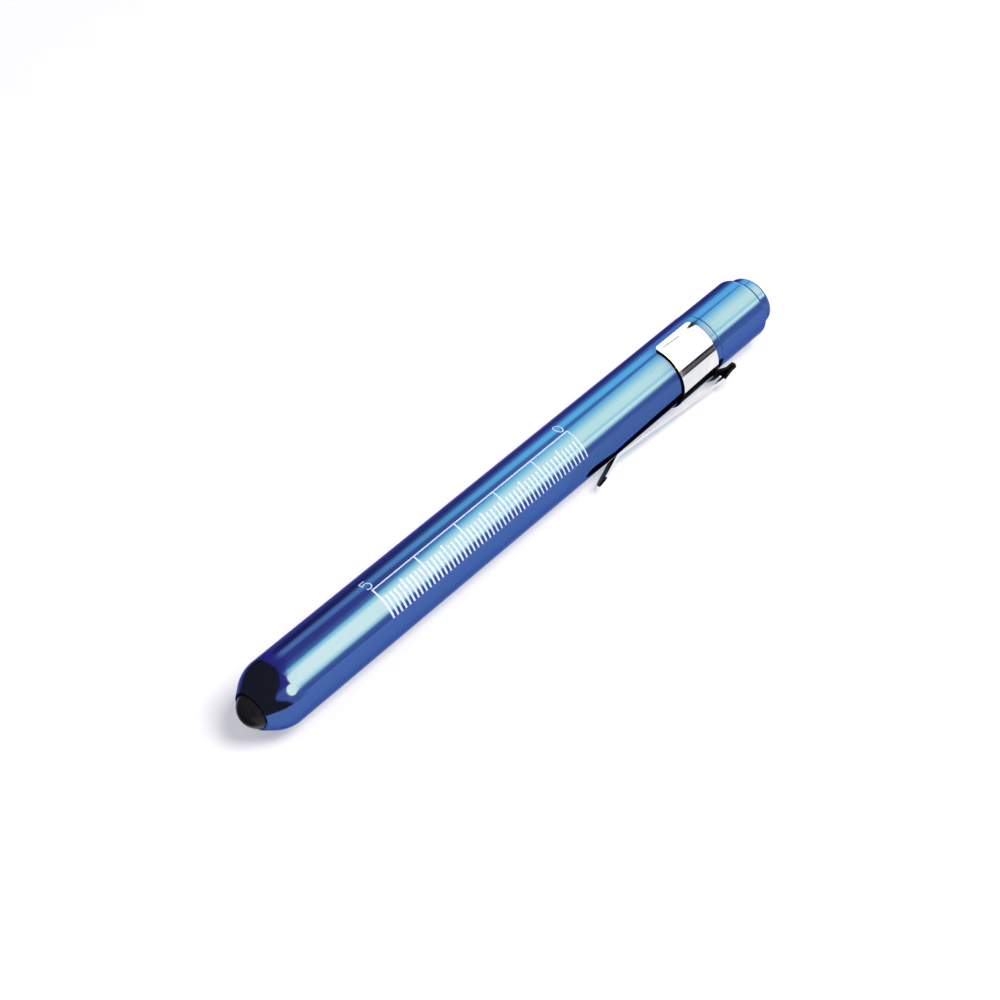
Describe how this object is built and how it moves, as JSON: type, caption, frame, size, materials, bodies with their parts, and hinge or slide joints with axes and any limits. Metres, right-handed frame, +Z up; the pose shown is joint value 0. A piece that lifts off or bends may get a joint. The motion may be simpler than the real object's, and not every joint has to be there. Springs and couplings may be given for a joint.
{
  "type": "penlight",
  "caption": "Slim pocket penlight: a tube of cells with a domed lens, a screwed tail cap with a push button, and a sprung sheet steel pocket clip.",
  "frame": {"origin": "middle of the light's footprint, on the surface it lies on", "axes": "+X along the barrel from the lens to the button, +Z up; the clip hangs down on the -Y side"},
  "size_m": [0.1358, 0.0148, 0.0131],
  "materials": {
    "blue_anodised": "bright blue anodised aluminium with a white printed centimetre ruler on the barrel",
    "lens": "polished dark smoky acrylic dome",
    "seal_rubber": "matt black rubber",
    "reflector": "metallised plastic cone in a dark grey moulding",
    "lamp_epoxy": "clear moulded lamp body",
    "tinned_wire": "tinned wire, bright",
    "circuit_board": "green solder mask on glass board",
    "insulator": "ivory moulded plastic",
    "contact_brass": "gilded brass contact",
    "cell_body": "bright nickel plated steel can, filled",
    "cell_cap": "bright nickel plated steel",
    "cell_seal": "dark moulded nylon",
    "cell_sleeve": "shrunk printed film, green, with a bare band",
    "spring_steel": "drawn spring wire, bright",
    "switch_plastic": "dark moulded plastic with a fine grain",
    "plunger_plastic": "natural white acetal",
    "clip_steel": "bright chrome plated spring steel sheet"
  },
  "bodies": {
    "barrel": {"barrel": "blue_anodised", "lens": "lens", "lens_gasket": "seal_rubber", "lamp_holder": "reflector", "lamp": "lamp_epoxy", "lamp_leads": "tinned_wire", "lamp_board": "circuit_board", "contact_insulator": "insulator", "front_contact": "contact_brass", "front_cell_can": "cell_body", "front_cell_contact": "cell_cap", "front_cell_seal": "cell_seal", "front_cell_sleeve": "cell_sleeve", "rear_cell_can": "cell_body", "rear_cell_contact": "cell_cap", "rear_cell_seal": "cell_seal", "rear_cell_sleeve": "cell_sleeve", "clip_band": "clip_steel"},
    "seal_ring": {"cap_seal_ring": "seal_rubber"},
    "tail_cap": {"tail_cap": "blue_anodised", "switch_housing": "switch_plastic", "switch_terminal": "contact_brass", "switch_retainer": "spring_steel", "return_spring": "spring_steel", "cell_spring": "spring_steel"},
    "button": {"push_button": "blue_anodised", "plunger": "plunger_plastic", "moving_contact": "contact_brass"},
    "clip_arm": {"clip_arm": "clip_steel"}
  },
  "joints": [
    {"name": "cap_advance", "type": "slide", "parent": "barrel", "child": "seal_ring", "axis": [1, 0, 0], "range_m": [0, 0.00918]},
    {"name": "cap_turn", "type": "hinge", "parent": "seal_ring", "child": "tail_cap", "pos_m": [0.05, 0.00119, 0.00657], "axis": [1, 0, 0], "range_deg": [0, 4410]},
    {"name": "button_press", "type": "slide", "parent": "tail_cap", "child": "button", "axis": [-1, 0, 0], "range_m": [0, 0.002], "stiffness_N_per_m": 800, "springref_m": -0.001, "deforming": ["return_spring"]},
    {"name": "clip_flex", "type": "hinge", "parent": "barrel", "child": "clip_arm", "pos_m": [0.05184, -0.00573, 0.00241], "axis": [0, -0.515, 0.8572], "range_deg": [0, 5], "stiffness_Nm_per_rad": 1.5, "springref_deg": -2.29}
  ],
  "couplings": [
    {"joint": "cap_turn", "follows": "cap_advance", "rad_per_m": 8377.6}
  ]
}
